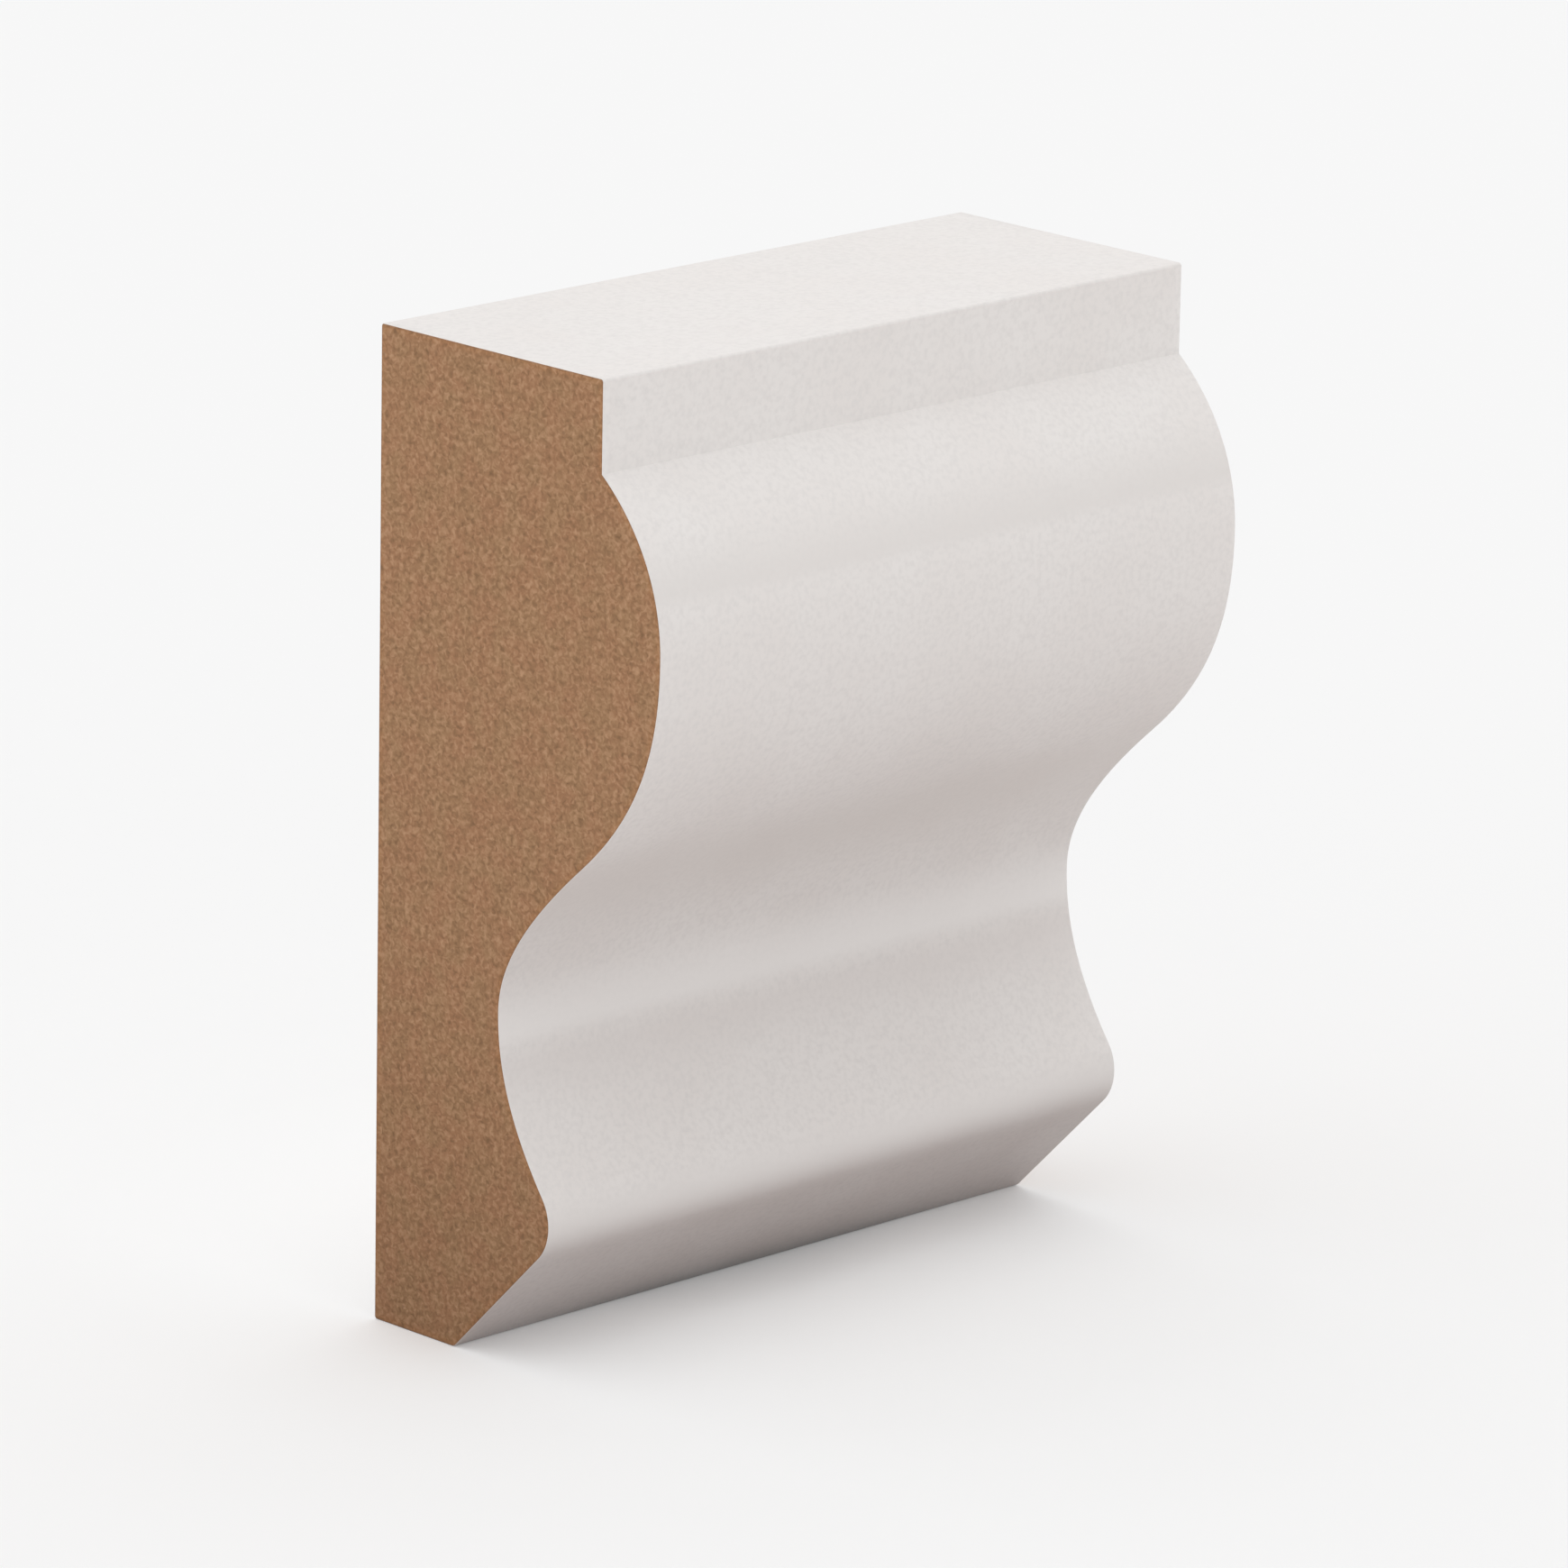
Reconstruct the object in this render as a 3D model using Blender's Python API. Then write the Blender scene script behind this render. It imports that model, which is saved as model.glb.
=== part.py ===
# Inlay moulding: a short length of primed fibreboard moulding, square-cut at both ends.
# Units are metres. X runs along the moulding, the moulded face looks towards -Y,
# the flat back lies on the plane Y = 0 and +Z is up.
# The origin is the middle of the flat back, where the moulding is glued or pinned on.

import bpy
from math import cos, pi, radians, sin, tan
from mathutils import Vector

MM = 0.001

# Board that the moulding is run from
LENGTH = 36.0 * MM              # length shown, between the two square cuts
HEIGHT = 46.0 * MM              # foot to top edge
STOCK_THICKNESS = 18.0 * MM     # back to the crest of the bulge, the full board

# Fillet along the top edge
FILLET_SETBACK = 3.8 * MM       # fillet's flat face, back from the crest of the bulge
FILLET_HEIGHT = 4.2 * MM        # top edge down to the inner corner under the fillet

# Bulge below the fillet
CREST_DROP = 11.8 * MM          # top edge down to the crest
SHOULDER_ANGLE = radians(51)    # slope at which the bulge leaves the fillet, from upright

# Ogee from the bulge into the cove
THROAT_THICKNESS = 8.0 * MM     # board left behind the deepest line of the cove
THROAT_RISE = 9.2 * MM          # middle of the nose up to the deepest line of the cove
TURN_RISE_SHARE = 0.43          # place of the turn between throat and crest, upwards
TURN_REACH_SHARE = 0.53         # the same, outwards
TURN_SLOPE_RATIO = 2.05         # slope at the turn against the straight line from throat to crest

# Nose and chamfer at the foot
NOSE_PROUD = 3.4 * MM           # nose in front of the deepest line of the cove
NOSE_RADIUS = 2.2 * MM
RUN_ANGLE = radians(36)         # slope of the cove's lower run into the nose, from upright
CHAMFER_ANGLE = radians(45)     # slope of the chamfer under the nose, from upright
FOOT_THICKNESS = 5.3 * MM       # flat that is left to stand on

# How far a curve's handle reaches towards the corner where its two end slopes meet
ROUND_PULL = 0.65               # at an end that stays round
RUN_OUT_PULL = 0.74             # at an end that runs out nearly straight

CURVE_STEPS = 24                # straight steps in each curved stretch

PRIMER_COLOUR = (0.74, 0.71, 0.69, 1.0)
PRIMER_ROUGHNESS = 0.6

DOWN = Vector((0, -1))


def clearScene():
    for item in list(bpy.data.objects):
        bpy.data.objects.remove(item)


def slope(angle, side):
    """Direction that goes down at an angle from upright, outwards (side 1) or inwards (side -1)."""
    return Vector((side * sin(angle), -cos(angle)))


def meeting(pointA, directionA, pointB, directionB):
    """Corner where a line through point A meets a line through point B."""
    gap = pointB - pointA
    cross = directionA.x * directionB.y - directionA.y * directionB.x
    reach = (gap.x * directionB.y - gap.y * directionB.x) / cross
    return pointA + directionA * reach


def softCorner(start, startWay, startPull, end, endWay, endPull):
    """Curved stretch between two points, given the slope at each of them."""
    corner = meeting(start, startWay, end, endWay)
    return [
        (start, start.lerp(corner, startPull)),
        (end, end.lerp(corner, endPull)),
    ]


def noseArc(centre):
    """Round stretch from the cove's lower run over the nose to the chamfer."""
    start = centre + NOSE_RADIUS * Vector((cos(RUN_ANGLE), sin(RUN_ANGLE)))
    end = centre + NOSE_RADIUS * Vector((cos(CHAMFER_ANGLE), -sin(CHAMFER_ANGLE)))
    handle = NOSE_RADIUS * 4 / 3 * tan((RUN_ANGLE + CHAMFER_ANGLE) / 4)
    return [
        (start, start + slope(RUN_ANGLE, 1) * handle),
        (end, end - slope(CHAMFER_ANGLE, -1) * handle),
    ]


def curvedStretches():
    """Moulded face from under the fillet to the top of the chamfer, as (depth, height) points."""
    noseDepth = THROAT_THICKNESS + NOSE_PROUD
    noseCentre = Vector((noseDepth - NOSE_RADIUS, 0))
    noseCentre.y = (noseCentre.x - FOOT_THICKNESS + NOSE_RADIUS / cos(CHAMFER_ANGLE)) / tan(CHAMFER_ANGLE)
    quirk = Vector((STOCK_THICKNESS - FILLET_SETBACK, HEIGHT - FILLET_HEIGHT))
    crest = Vector((STOCK_THICKNESS, HEIGHT - CREST_DROP))
    throat = Vector((THROAT_THICKNESS, noseCentre.y + THROAT_RISE))
    span = crest - throat
    turn = throat + Vector((span.x * TURN_REACH_SHARE, span.y * TURN_RISE_SHARE))
    turnWay = Vector((-span.x * TURN_SLOPE_RATIO, -span.y)).normalized()
    nose = noseArc(noseCentre)
    noseTop = nose[0][0]
    return [
        softCorner(quirk, slope(SHOULDER_ANGLE, 1), ROUND_PULL, crest, DOWN, ROUND_PULL),
        softCorner(crest, DOWN, ROUND_PULL, turn, turnWay, RUN_OUT_PULL),
        softCorner(turn, turnWay, RUN_OUT_PULL, throat, DOWN, ROUND_PULL),
        softCorner(throat, DOWN, ROUND_PULL, noseTop, slope(RUN_ANGLE, 1), RUN_OUT_PULL),
        nose,
    ]


def outlinePoints():
    """Control points of the closed outline: [point, handle before, handle after], None for a straight side."""
    stretches = curvedStretches()
    points = [
        [Vector((0, 0)), None, None],
        [Vector((0, HEIGHT)), None, None],
        [Vector((STOCK_THICKNESS - FILLET_SETBACK, HEIGHT)), None, None],
        [stretches[0][0][0], None, None],
    ]
    for (start, startHandle), (end, endHandle) in stretches:
        points[-1][2] = startHandle
        points.append([end, endHandle, None])
    points.append([Vector((FOOT_THICKNESS, 0)), None, None])
    return points


def makeOutline(name):
    """Flat closed outline, filled and thickened to the moulding's length."""
    curve = bpy.data.curves.new(name, "CURVE")
    curve.dimensions = "2D"
    curve.fill_mode = "BOTH"
    curve.extrude = LENGTH / 2
    curve.resolution_u = CURVE_STEPS
    curve.render_resolution_u = CURVE_STEPS
    points = outlinePoints()
    spline = curve.splines.new("BEZIER")
    spline.bezier_points.add(len(points) - 1)
    spline.use_cyclic_u = True
    spline.resolution_u = CURVE_STEPS
    for knot, (place, before, after) in zip(spline.bezier_points, points):
        knot.co = place.to_3d()
        knot.handle_left_type = "FREE" if before else "VECTOR"
        knot.handle_right_type = "FREE" if after else "VECTOR"
        knot.handle_left = (before or place).to_3d()
        knot.handle_right = (after or place).to_3d()
    return curve


def primerMaterial():
    material = bpy.data.materials.new("white_primer")
    material.use_nodes = True
    shader = material.node_tree.nodes["Principled BSDF"]
    shader.inputs["Base Color"].default_value = PRIMER_COLOUR
    shader.inputs["Roughness"].default_value = PRIMER_ROUGHNESS
    shader.inputs["Metallic"].default_value = 0.0
    return material


def makeMoulding(collection):
    """Moulding upright on its foot's plane, its outline turned so that depth runs to -Y."""
    moulding = bpy.data.objects.new("inlay_moulding", makeOutline("moulding_outline"))
    moulding.rotation_euler = (pi / 2, 0, -pi / 2)
    moulding.location.z = -HEIGHT / 2
    moulding.data.materials.append(primerMaterial())
    collection.objects.link(moulding)
    return moulding


clearScene()
mouldingCollection = bpy.data.collections.new("inlay_moulding")
bpy.context.scene.collection.children.link(mouldingCollection)
makeMoulding(mouldingCollection)
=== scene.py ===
# Looks of the primed fibreboard inlay moulding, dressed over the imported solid
from math import cos, radians, sin

import bmesh
import bpy
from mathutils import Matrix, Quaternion, Vector
from mathutils.geometry import intersect_point_line


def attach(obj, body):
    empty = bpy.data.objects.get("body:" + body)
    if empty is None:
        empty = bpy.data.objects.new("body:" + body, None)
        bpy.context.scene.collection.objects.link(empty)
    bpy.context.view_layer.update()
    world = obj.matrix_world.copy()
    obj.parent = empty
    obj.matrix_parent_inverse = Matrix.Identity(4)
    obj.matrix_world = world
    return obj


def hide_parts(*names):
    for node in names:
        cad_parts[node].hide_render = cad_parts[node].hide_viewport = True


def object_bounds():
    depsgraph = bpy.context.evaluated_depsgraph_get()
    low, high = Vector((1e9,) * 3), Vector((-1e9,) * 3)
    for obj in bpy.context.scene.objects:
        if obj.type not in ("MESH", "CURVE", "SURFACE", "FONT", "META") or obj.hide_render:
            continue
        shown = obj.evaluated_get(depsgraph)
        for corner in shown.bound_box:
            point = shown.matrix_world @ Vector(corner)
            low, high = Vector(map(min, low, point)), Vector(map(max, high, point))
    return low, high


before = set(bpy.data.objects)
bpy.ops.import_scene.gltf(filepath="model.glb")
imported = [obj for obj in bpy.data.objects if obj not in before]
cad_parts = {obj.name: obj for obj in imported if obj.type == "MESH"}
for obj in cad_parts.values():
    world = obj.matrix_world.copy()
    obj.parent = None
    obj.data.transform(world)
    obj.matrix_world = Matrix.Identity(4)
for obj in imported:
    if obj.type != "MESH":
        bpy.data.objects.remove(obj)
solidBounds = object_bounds()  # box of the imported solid, before anything is dressed

mm = 0.001


# Small helpers for materials

def newMaterial(name):
    material = bpy.data.materials.new(name)
    material.use_nodes = True
    nodes = material.node_tree.nodes
    nodes.clear()
    shader = nodes.new("ShaderNodeBsdfPrincipled")
    output = nodes.new("ShaderNodeOutputMaterial")
    join(material, shader.outputs["BSDF"], output.inputs["Surface"])
    return material, shader


def join(material, source, target):
    material.node_tree.links.new(source, target)


def objectPlace(material):
    return material.node_tree.nodes.new("ShaderNodeTexCoord").outputs["Object"]


def grain(material, stretch=(1, 1, 1)):  # stretch below 1 draws the pattern out along that axis
    mapping = material.node_tree.nodes.new("ShaderNodeMapping")
    mapping.inputs["Scale"].default_value = stretch
    join(material, objectPlace(material), mapping.inputs["Vector"])
    return mapping.outputs["Vector"]


def noise(material, vector, size, detail=2.0, roughness=0.5, swirl=0.0):  # size in metres
    texture = material.node_tree.nodes.new("ShaderNodeTexNoise")
    texture.inputs["Scale"].default_value = 1 / size
    texture.inputs["Detail"].default_value = detail
    texture.inputs["Roughness"].default_value = roughness
    texture.inputs["Distortion"].default_value = swirl
    join(material, vector, texture.inputs["Vector"])
    return texture.outputs["Fac"]


def remap(material, value, fromLow, fromHigh, toLow=0.0, toHigh=1.0, soft=False):
    node = material.node_tree.nodes.new("ShaderNodeMapRange")
    node.interpolation_type = "SMOOTHSTEP" if soft else "LINEAR"
    node.inputs["From Min"].default_value = fromLow
    node.inputs["From Max"].default_value = fromHigh
    node.inputs["To Min"].default_value = toLow
    node.inputs["To Max"].default_value = toHigh
    join(material, value, node.inputs["Value"])
    return node.outputs["Result"]


def multiply(material, first, second):
    node = material.node_tree.nodes.new("ShaderNodeMath")
    node.operation = "MULTIPLY"
    join(material, first, node.inputs[0])
    join(material, second, node.inputs[1])
    return node.outputs["Value"]


def blend(material, share, first, second):  # each colour is a socket or plain red, green, blue
    node = material.node_tree.nodes.new("ShaderNodeMix")
    node.data_type = "RGBA"
    join(material, share, node.inputs["Factor"])
    for colour, slotName in ((first, "A"), (second, "B")):
        socket = [s for s in node.inputs if s.name == slotName and s.type == "RGBA"][0]
        if isinstance(colour, bpy.types.NodeSocket):
            join(material, colour, socket)
        else:
            socket.default_value = (*colour, 1.0)
    return [s for s in node.outputs if s.type == "RGBA"][0]


def bump(material, shader, height, strength, depth):
    node = material.node_tree.nodes.new("ShaderNodeBump")
    node.inputs["Strength"].default_value = strength
    node.inputs["Distance"].default_value = depth
    join(material, height, node.inputs["Height"])
    join(material, node.outputs["Normal"], shader.inputs["Normal"])


# Primer on the moulded face and the long edges

primer = {
    "colour": (0.802, 0.772, 0.752),
    "warmPatch": (0.792, 0.757, 0.735),
    "patchSize": 5 * mm,
    "patchRange": (0.35, 0.65),    # pattern values where none and all of the tint shows, as in all ranges
    "mottleDark": (0.742, 0.712, 0.694),
    "mottleSize": 0.26 * mm,
    "mottleDetail": 1.0,
    "mottleRange": (0.4, 0.8),
    # faint bands along the length that paint shade and highlight into the primer's colour:
    # bottom, strongest line and top in height, share of the tint, tint
    "shadeAndHighlightBands": [
        # painted shade: a darker line high on the bulge
        (13.1 * mm, 14.0 * mm, 16.6 * mm, 0.8, (0.745, 0.712, 0.690)),
        # painted light: a lighter band in the hollow
        (-8.9 * mm, -7.8 * mm, -4.6 * mm, 0.8, (0.87, 0.848, 0.83)),
        # painted shade: a darker step low in the hollow
        (-11.8 * mm, -9.4 * mm, -8.7 * mm, 0.5, (0.745, 0.706, 0.686)),
        # painted shade under the bulge
        (-4.6 * mm, -0.6 * mm, 2.6 * mm, 0.6, (0.735, 0.696, 0.668)),
        # painted highlight along the nose
        (-18.4 * mm, -16.4 * mm, -14.5 * mm, 1.0, (0.885, 0.86, 0.84)),
    ],
    "roughness": (0.52, 0.64),
    "peelSize": 0.5 * mm,          # orange peel left by the spray
    "peelDetail": 3.0,
    "peelDepth": 0.004 * mm,
    "peelStrength": 0.5,
}


# how much of one band's painted shade or highlight shows at each height
def paintedBandShare(material, height, bottom, middle, top, share):
    rise = remap(material, height, bottom, middle, 0, share, soft=True)
    fall = remap(material, height, middle, top, 1, 0, soft=True)
    return multiply(material, rise, fall)


def makePrimer():
    material, shader = newMaterial("white_primer")
    even = grain(material)
    patches = remap(material, noise(material, even, primer["patchSize"]), *primer["patchRange"])
    colour = blend(material, patches, primer["colour"], primer["warmPatch"])
    mottled = noise(material, even, primer["mottleSize"], primer["mottleDetail"])
    mottle = remap(material, mottled, *primer["mottleRange"])
    colour = blend(material, mottle, colour, primer["mottleDark"])
    split = material.node_tree.nodes.new("ShaderNodeSeparateXYZ")
    join(material, objectPlace(material), split.inputs["Vector"])
    # each band paints shade or a highlight into the primer's colour
    for bottom, middle, top, share, tint in primer["shadeAndHighlightBands"]:
        band = paintedBandShare(material, split.outputs["Z"], bottom, middle, top, share)
        colour = blend(material, band, colour, tint)
    join(material, colour, shader.inputs["Base Color"])
    low, high = primer["roughness"]
    join(material, remap(material, patches, 0, 1, low, high), shader.inputs["Roughness"])
    peel = noise(material, even, primer["peelSize"], primer["peelDetail"])
    bump(material, shader, peel, primer["peelStrength"], primer["peelDepth"])
    return material


# Thin single coat on the flat back, with the board just showing through

backCoat = {
    "colour": (0.745, 0.713, 0.685),
    "thin": (0.62, 0.54, 0.46),
    "thinShare": 0.22,
    "thinRange": (0.4, 0.8),
    "rollSize": 1.2 * mm,
    "rollDetail": 4.0,
    "rollRoughness": 0.6,
    "stretch": (0.25, 1, 1),       # roller marks run along the length
    "rollDepth": 0.01 * mm,
    "rollStrength": 0.6,
    "speckSize": 0.22 * mm,
    "speckDetail": 1.0,
    "speckRange": (0.5, 0.75),
    "speckShare": 0.3,
    "roughness": 0.75,
}


def makeBackCoat():
    material, shader = newMaterial("thin_back_coat")
    along = grain(material, backCoat["stretch"])
    rollSize, rollDetail = backCoat["rollSize"], backCoat["rollDetail"]
    rolled = noise(material, along, rollSize, rollDetail, backCoat["rollRoughness"])
    thinShare = remap(material, rolled, *backCoat["thinRange"], 0, backCoat["thinShare"])
    colour = blend(material, thinShare, backCoat["colour"], backCoat["thin"])
    speckled = noise(material, grain(material), backCoat["speckSize"], backCoat["speckDetail"])
    specks = remap(material, speckled, *backCoat["speckRange"], 0, backCoat["speckShare"])
    join(material, blend(material, specks, colour, backCoat["thin"]), shader.inputs["Base Color"])
    shader.inputs["Roughness"].default_value = backCoat["roughness"]
    bump(material, shader, rolled, backCoat["rollStrength"], backCoat["rollDepth"])
    return material


# Raw fibreboard on the two cut ends

rawBoard = {
    "reddish": (0.372, 0.192, 0.096),
    "olive": (0.357, 0.200, 0.098),
    "patchSize": 1.5 * mm,
    "patchRange": (0.4, 0.6),
    "darkFibre": (0.236, 0.125, 0.058),
    "darkRange": (0.5, 0.2),           # the lower the pattern, the darker the fibre
    "paleFibre": (0.500, 0.294, 0.163),
    "paleRange": (0.5, 0.8),
    "fibreSize": 0.26 * mm,
    "fibreDetail": 1.0,
    "fibreSwirl": 0.6,
    "stretch": (1, 1, 1.15),           # fibres are a little wider than they are high
    "fleckDark": (0.24, 0.128, 0.062),
    "fleckSize": 0.34 * mm,
    "fleckDetail": 0.0,
    "fleckRange": (0.26, 0.18),
    "fleckShare": 0.6,
    "scorched": (0.27, 0.14, 0.07),    # faint line where the saw burned the edge
    "scorchShare": 0.45,
    "scorchWidth": 0.07,               # in millimetres in from the edge, as sealedWidth is
    "sealed": (0.43, 0.195, 0.075),    # primer soaked into the outermost fibres
    "sealedShare": 0.4,
    "sealedWidth": 0.35,
    "roughness": 0.9,
    "nap": 0.03 * mm,
    "napStrength": 0.6,
}


def makeRawBoard():
    material, shader = newMaterial("raw_fibreboard")
    even = grain(material)
    patches = remap(material, noise(material, even, rawBoard["patchSize"]), *rawBoard["patchRange"])
    colour = blend(material, patches, rawBoard["reddish"], rawBoard["olive"])
    rim = material.node_tree.nodes.new("ShaderNodeAttribute")
    rim.attribute_name = "edgeDistance"
    inward = rim.outputs["Fac"]
    scorchWidth, sealedWidth = rawBoard["scorchWidth"], rawBoard["sealedWidth"]
    sealedShare = remap(material, inward, scorchWidth, sealedWidth, rawBoard["sealedShare"], 0)
    colour = blend(material, sealedShare, colour, rawBoard["sealed"])
    matted = grain(material, rawBoard["stretch"])
    fibreSize, fibreDetail = rawBoard["fibreSize"], rawBoard["fibreDetail"]
    fibres = noise(material, matted, fibreSize, fibreDetail, swirl=rawBoard["fibreSwirl"])
    darkShare = remap(material, fibres, *rawBoard["darkRange"])
    colour = blend(material, darkShare, colour, rawBoard["darkFibre"])
    paleShare = remap(material, fibres, *rawBoard["paleRange"])
    colour = blend(material, paleShare, colour, rawBoard["paleFibre"])
    flecked = noise(material, even, rawBoard["fleckSize"], rawBoard["fleckDetail"])
    flecks = remap(material, flecked, *rawBoard["fleckRange"], 0, rawBoard["fleckShare"])
    colour = blend(material, flecks, colour, rawBoard["fleckDark"])
    scorchShare = remap(material, inward, 0, scorchWidth, rawBoard["scorchShare"], 0)
    colour = blend(material, scorchShare, colour, rawBoard["scorched"])
    join(material, colour, shader.inputs["Base Color"])
    shader.inputs["Roughness"].default_value = rawBoard["roughness"]
    bump(material, shader, fibres, rawBoard["napStrength"], rawBoard["nap"])
    return material


# The moulding itself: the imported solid, merged, its arrises eased as sanding leaves them

moulding = {
    "node": "inlay_moulding",
    "arrisEase": 0.14 * mm,    # long edges, sanded between coats
    "cutEase": 0.05 * mm,      # crisp saw-cut edge round both ends
    "easeSteps": 3,
    "ring": 0.4 * mm,          # ring of faces inside each cut end's outline, for its darker edge
    "loopInset": 0.4 * mm,     # loop near each end that keeps the long facets' shading straight
    "sharpAngle": radians(25),
    "flatFaceArea": 60 * mm * mm,   # larger faces than this keep flat shading
    "mergeDistance": 0.001 * mm,
    "coplanarAngle": radians(0.05),
    # how squarely a face looks along the length or out of the back, 1 is exactly
    "cutFacing": 0.999,
    "boardFacing": 0.8,        # takes in the cut edge's inner eased strips
    "backFacing": 0.99,
}


def mergedSolid():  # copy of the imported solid, loose triangles joined and flats made whole
    bm = bmesh.new()
    bm.from_mesh(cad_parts[moulding["node"]].data)
    bmesh.ops.remove_doubles(bm, verts=bm.verts, dist=moulding["mergeDistance"])
    bmesh.ops.dissolve_limit(
        bm, angle_limit=moulding["coplanarAngle"], verts=bm.verts, edges=bm.edges
    )
    return bm


def cutEnd(bm, side):  # only the flat faces, without the eased strips round them
    return [f for f in bm.faces if f.normal.x * side > moulding["cutFacing"]]


def ringEnds(bm):  # a narrow ring of faces just inside the outline of each cut end
    for side in (-1, 1):
        bmesh.ops.inset_region(
            bm, faces=cutEnd(bm, side), thickness=moulding["ring"],
            use_boundary=True, use_even_offset=True,
        )


def loopNearEnds(bm):
    inset = moulding["loopInset"]
    for x in (solidBounds[0].x + inset, solidBounds[1].x - inset):
        everything = list(bm.verts) + list(bm.edges) + list(bm.faces)
        bmesh.ops.bisect_plane(bm, geom=everything, plane_co=(x, 0, 0), plane_no=(1, 0, 0))


def easeEdges(bm, edges, width):
    bmesh.ops.bevel(
        bm, geom=edges, offset=width, segments=moulding["easeSteps"],
        profile=0.5, affect="EDGES", material=-1, clamp_overlap=True,
    )


# The long arrises are eased first, then the saw-cut edge round each end.
# The hollow under the fillet stays crisp.
def easeArrises(bm):
    ends = set(cutEnd(bm, -1) + cutEnd(bm, 1))
    sharp = [e for e in bm.edges if e.is_manifold and e.calc_face_angle() > moulding["sharpAngle"]]
    arrises = [e for e in sharp if not ends & set(e.link_faces)]
    for edge in arrises:
        edge.smooth = edge.is_convex
    easeEdges(bm, [e for e in arrises if e.is_convex], moulding["arrisEase"])
    ends = set(cutEnd(bm, -1) + cutEnd(bm, 1))
    easeEdges(bm, [e for e in bm.edges if len(ends & set(e.link_faces)) == 1], moulding["cutEase"])


def finishOf(face):  # 0 is primer, 1 raw board, 2 the thin back coat
    if abs(face.normal.x) > moulding["boardFacing"]:
        return 1
    return 2 if face.normal.y > moulding["backFacing"] else 0


def paintFaces(bm):
    for face in bm.faces:
        face.material_index = finishOf(face)
        face.smooth = face.calc_area() < moulding["flatFaceArea"]


def distanceTo(edge, place):
    start, end = edge.verts[0].co, edge.verts[1].co
    along = intersect_point_line(place, start, end)[1]
    return (place - start.lerp(end, min(max(along, 0), 1))).length


def markEdgeDistance(bm):  # millimetres in from the outline, kept on each cut end's vertices
    layer = bm.verts.layers.float.new("edgeDistance")
    for side in (-1, 1):
        end = set(cutEnd(bm, side))
        outline = [e for f in end for e in f.edges if len(end & set(e.link_faces)) == 1]
        for vert in {v for f in end for v in f.verts}:
            vert[layer] = min(distanceTo(e, vert.co) for e in outline) / mm


def makeMoulding():
    bm = mergedSolid()
    ringEnds(bm)
    easeArrises(bm)
    markEdgeDistance(bm)
    loopNearEnds(bm)
    paintFaces(bm)
    mesh = bpy.data.meshes.new("moulding")
    bm.to_mesh(mesh)
    bm.free()
    piece = bpy.data.objects.new("moulding", mesh)
    for material in (makePrimer(), makeRawBoard(), makeBackCoat()):
        mesh.materials.append(material)
    bpy.context.scene.collection.objects.link(piece)
    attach(piece, "root")
    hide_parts(moulding["node"])
    print("moulding:", len(mesh.polygons), "faces")


# Plain pale floor, over a card that sets how much light is thrown back at the moulding

floor = {
    "size": 4.0,
    "squares": 8,              # along each side
    "gap": 0.01 * mm,
    # distance from the middle in millimetres and the floor's colour there, lighter near the moulding:
    # painted light that lifts its shadow on the floor
    "zones": [
        (6, (0.770, 0.770, 0.770)),
        (11, (0.850, 0.850, 0.850)),
        (18, (0.812, 0.812, 0.812)),
        (23, (0.785, 0.785, 0.785)),
        (28, (0.762, 0.762, 0.762)),
        (38, (0.742, 0.742, 0.742)),
        (56, (0.728, 0.728, 0.728)),
        (75, (0.724, 0.724, 0.724)),
    ],
    "glow": 0.153,             # the floor's own glow, painted light that lifts the shadow on it
    "glowColour": (1, 1, 1),
    "roughness": 0.9,
    "shine": 0.1,
}

bounceCard = {
    "gap": 0.02 * mm,          # just below the floor
    # same measure as the floor's, warmer close in, where it lights the shaded underside
    "zones": [
        (19, (0.47, 0.41, 0.395)),
        (24, (0.38, 0.335, 0.325)),
        (34, (0.38, 0.34, 0.33)),
        (40, (0.78, 0.71, 0.695)),
        (60, (0.78, 0.73, 0.715)),
        (68, (0.965, 0.955, 0.95)),
    ],
    # long oval under the foot that throws little light back, fading out towards the cut ends
    "stripMiddle": -2.65 * mm,
    "stripReach": (2.7 * mm, 5.2 * mm),    # across it, where it starts to fade and where it is gone
    "stripSlimness": 0.24,                 # a step along the length counts this much of one across
    "stripColour": (0.08, 0.07, 0.07),
}


def layPlane(name, gap):
    squares = floor["squares"]
    bm = bmesh.new()
    bmesh.ops.create_grid(bm, x_segments=squares, y_segments=squares, size=floor["size"] / 2)
    bmesh.ops.translate(bm, verts=bm.verts, vec=(0, 0, solidBounds[0].z - gap))
    mesh = bpy.data.meshes.new(name)
    bm.to_mesh(mesh)
    bm.free()
    material, shader = newMaterial(name)
    shader.inputs["Roughness"].default_value = floor["roughness"]
    shader.inputs["Specular IOR Level"].default_value = floor["shine"]
    mesh.materials.append(material)
    plane = bpy.data.objects.new(name, mesh)
    bpy.context.scene.collection.objects.link(plane)
    return plane, material, shader


def distanceFrom(material, axes, middle):  # each axis counts by its number, 0 leaves it out
    flat = material.node_tree.nodes.new("ShaderNodeVectorMath")
    flat.operation = "MULTIPLY"
    flat.inputs[1].default_value = axes
    join(material, objectPlace(material), flat.inputs[0])
    distance = material.node_tree.nodes.new("ShaderNodeVectorMath")
    distance.operation = "DISTANCE"
    distance.inputs[1].default_value = middle
    join(material, flat.outputs["Vector"], distance.inputs[0])
    return distance.outputs["Value"]


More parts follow.
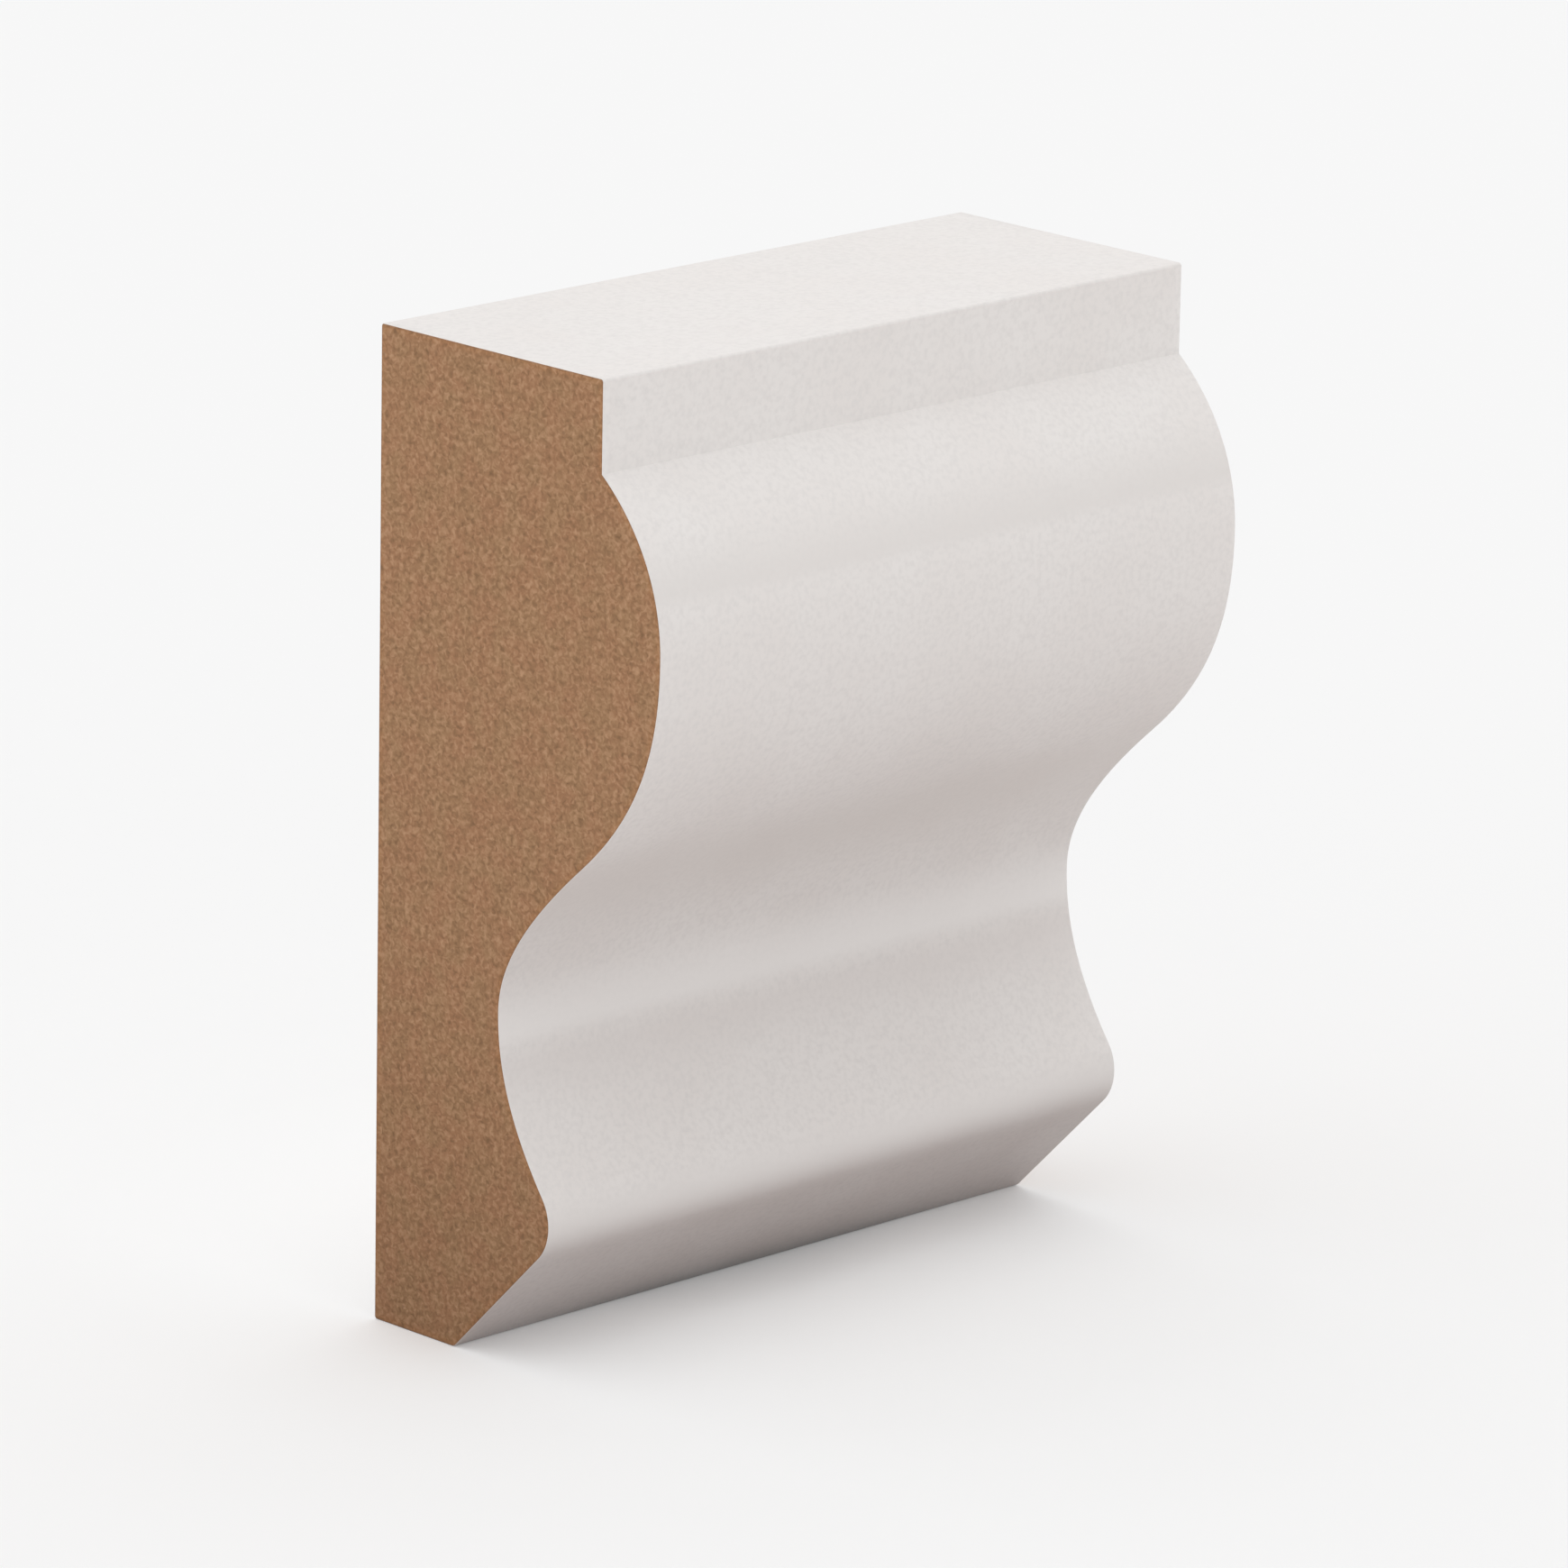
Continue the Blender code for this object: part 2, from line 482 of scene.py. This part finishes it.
def zonedColour(material, zones):  # zones hold a level distance in millimetres and the colour there
    reach = zones[-1][0]
    out = distanceFrom(material, (1, 1, 0), (0, 0, 0))
    ramp = material.node_tree.nodes.new("ShaderNodeValToRGB")
    join(material, remap(material, out, 0, reach * mm), ramp.inputs["Fac"])
    stops = ramp.color_ramp.elements
    stops.remove(stops[0])
    stops[0].color = (*zones[-1][1], 1)
    for distance, colour in zones[:-1]:
        stops.new(distance / reach).color = (*colour, 1)
    return ramp.outputs["Color"]


def makeFloor():
    seen, material, shader = layPlane("floor", floor["gap"])
    join(material, zonedColour(material, floor["zones"]), shader.inputs["Base Color"])
    shader.inputs["Emission Color"].default_value = (*floor["glowColour"], 1)
    shader.inputs["Emission Strength"].default_value = floor["glow"]
    seen.visible_diffuse = False
    seen.visible_shadow = False
    print("floor laid at", round(solidBounds[0].z / mm, 2), "mm")


def makeBounceCard():
    card, material, shader = layPlane("bounce_card", bounceCard["gap"])
    slimness, middle = bounceCard["stripSlimness"], bounceCard["stripMiddle"]
    fromFoot = distanceFrom(material, (slimness, 1, 0), (0, middle, 0))
    clear = remap(material, fromFoot, *bounceCard["stripReach"], soft=True)
    zones = zonedColour(material, bounceCard["zones"])
    colour = blend(material, clear, bounceCard["stripColour"], zones)
    join(material, colour, shader.inputs["Base Color"])
    card.visible_camera = False
    card.visible_glossy = False
    print("bounce card laid")


# Soft studio light: one large dome, brighter overhead than at the horizon

studio = {
    "colour": (1, 1, 1),
    "horizon": 0.473,
    "zenith": 1.377,
}


def makeLights():
    world = bpy.data.worlds.new("studio_dome")
    world.use_nodes = True
    nodes, links = world.node_tree.nodes, world.node_tree.links
    direction = nodes.new("ShaderNodeTexCoord")
    split = nodes.new("ShaderNodeSeparateXYZ")
    links.new(direction.outputs["Generated"], split.inputs["Vector"])
    strength = nodes.new("ShaderNodeMapRange")
    strength.inputs["To Min"].default_value = studio["horizon"]
    strength.inputs["To Max"].default_value = studio["zenith"]
    links.new(split.outputs["Z"], strength.inputs["Value"])
    background = nodes["Background"]
    background.inputs["Color"].default_value = (*studio["colour"], 1)
    links.new(strength.outputs["Result"], background.inputs["Strength"])
    bpy.context.scene.world = world
    bpy.context.scene.view_settings.view_transform = "Standard"
    print("lights: dome from", studio["horizon"], "to", studio["zenith"])


# Camera at the photograph's angle, a long lens from the front left

cameraView = {
    "azimuth": -44.54,         # degrees round the moulding, 0 is straight in front
    "elevation": 15.47,
    "roll": 1.05,
    "distance": 452.1 * mm,
    "aim": Vector((-0.69, -8.10, 0.58)) * mm,
    "lens": 230.3,
    "sensor": 36,
    "clip": (0.01, 20),        # nearest and farthest that is drawn, in metres
}


def around(azimuth, elevation):
    a, e = radians(azimuth), radians(elevation)
    return Vector((sin(a) * cos(e), -cos(a) * cos(e), sin(e)))


def makeCamera():
    data = bpy.data.cameras.new("camera")
    data.sensor_width = cameraView["sensor"]
    data.lens = cameraView["lens"]
    data.clip_start, data.clip_end = cameraView["clip"]
    camera = bpy.data.objects.new("camera", data)
    back = around(cameraView["azimuth"], cameraView["elevation"])
    camera.location = cameraView["aim"] + back * cameraView["distance"]
    camera.rotation_mode = "QUATERNION"
    level = (-back).to_track_quat("-Z", "Y")
    camera.rotation_quaternion = level @ Quaternion((0, 0, 1), radians(cameraView["roll"]))
    bpy.context.scene.collection.objects.link(camera)
    bpy.context.scene.camera = camera
    print("camera ready")


makeCamera()
makeMoulding()
makeFloor()
makeBounceCard()
makeLights()
